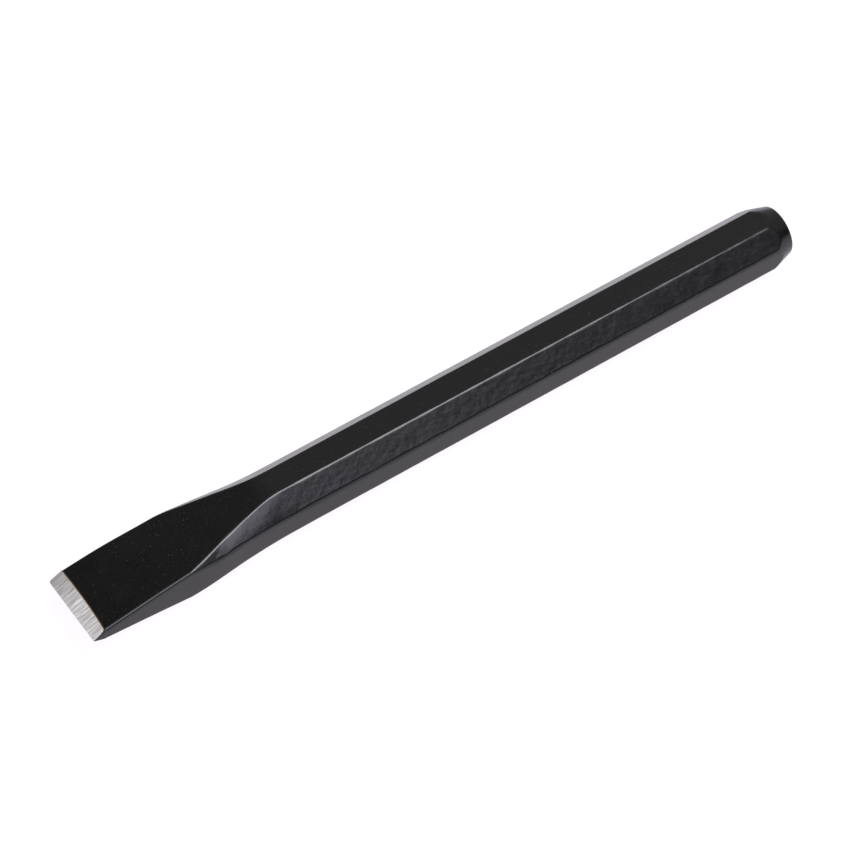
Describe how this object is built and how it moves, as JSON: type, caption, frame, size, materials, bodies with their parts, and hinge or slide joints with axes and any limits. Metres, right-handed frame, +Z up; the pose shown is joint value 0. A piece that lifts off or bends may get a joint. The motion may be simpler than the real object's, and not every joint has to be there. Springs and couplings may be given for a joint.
{
  "type": "cold chisel",
  "caption": "Flat cold chisel forged in one piece from octagonal bar, black enamelled, with bare ground bevels meeting at the cutting edge.",
  "frame": {"origin": "under the middle of the chisel's length, on the lower flat of the shank that it lies on", "axes": "+X from the cutting edge to the striking head, +Y along the cutting edge, +Z up"},
  "size_m": [0.25, 0.025, 0.019],
  "materials": {
    "ground_steel": "bare tool steel, bevels ground with fine lines square to the cutting edge",
    "black_enamel": "black satin-gloss enamel over forged and rolled bar, tan where it is ground through"
  },
  "bodies": {
    "root": {"steel_body": "ground_steel", "paint_coat": "black_enamel"}
  },
  "joints": []
}
